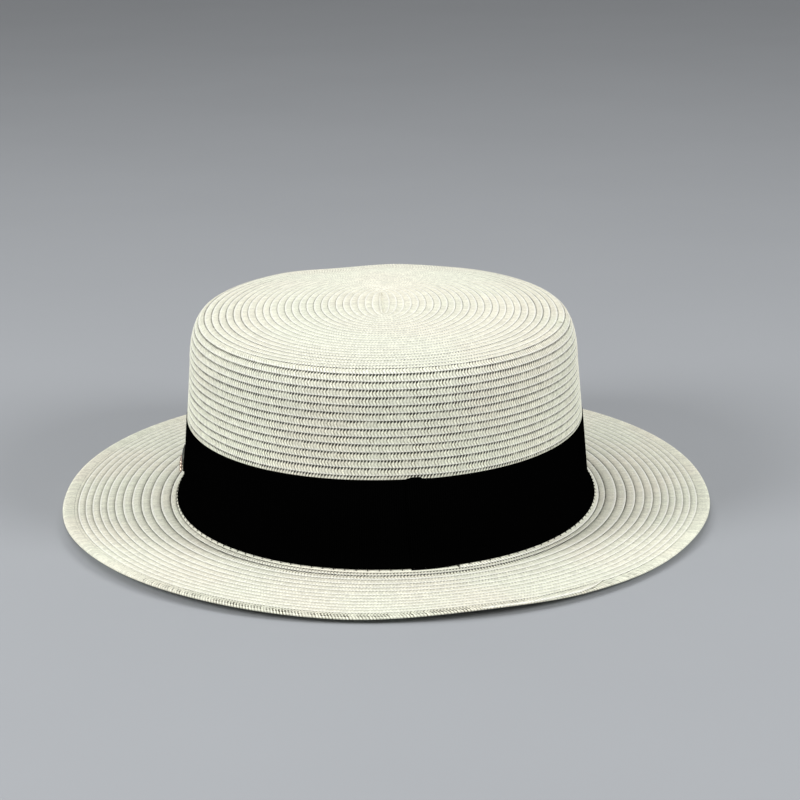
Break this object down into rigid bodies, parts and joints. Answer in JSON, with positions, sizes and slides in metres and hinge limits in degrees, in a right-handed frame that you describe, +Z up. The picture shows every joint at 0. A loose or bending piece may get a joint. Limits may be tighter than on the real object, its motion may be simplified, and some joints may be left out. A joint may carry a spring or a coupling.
{
  "type": "straw boater hat",
  "caption": "Straw boater hat: oval flat-topped crown, wide flat brim of sewn braid, black ribbon lapped at the back and a small plain metal badge at its left side.",
  "frame": {"origin": "on the surface that the brim lies on, under the middle of the crown", "axes": "+Z up through the crown, +Y to the hat's front, -X to its left side, where the badge is; the ribbon is lapped at the back"},
  "size_m": [0.2696, 0.3092, 0.0816],
  "materials": {
    "straw_braid": "sewn rows of fine cream paper straw braid, matt with a faint sheen",
    "black_ribbon": "black ribbed ribbon, matt",
    "dark_metal": "dark grey satin metal",
    "rose_gold": "polished rose gold plating"
  },
  "bodies": {
    "root": {"crown": "straw_braid", "brim": "straw_braid", "brim_edge": "straw_braid", "braid_end": "straw_braid", "hat_band": "black_ribbon", "badge_plate": "dark_metal", "badge_beads": "rose_gold"}
  },
  "joints": []
}
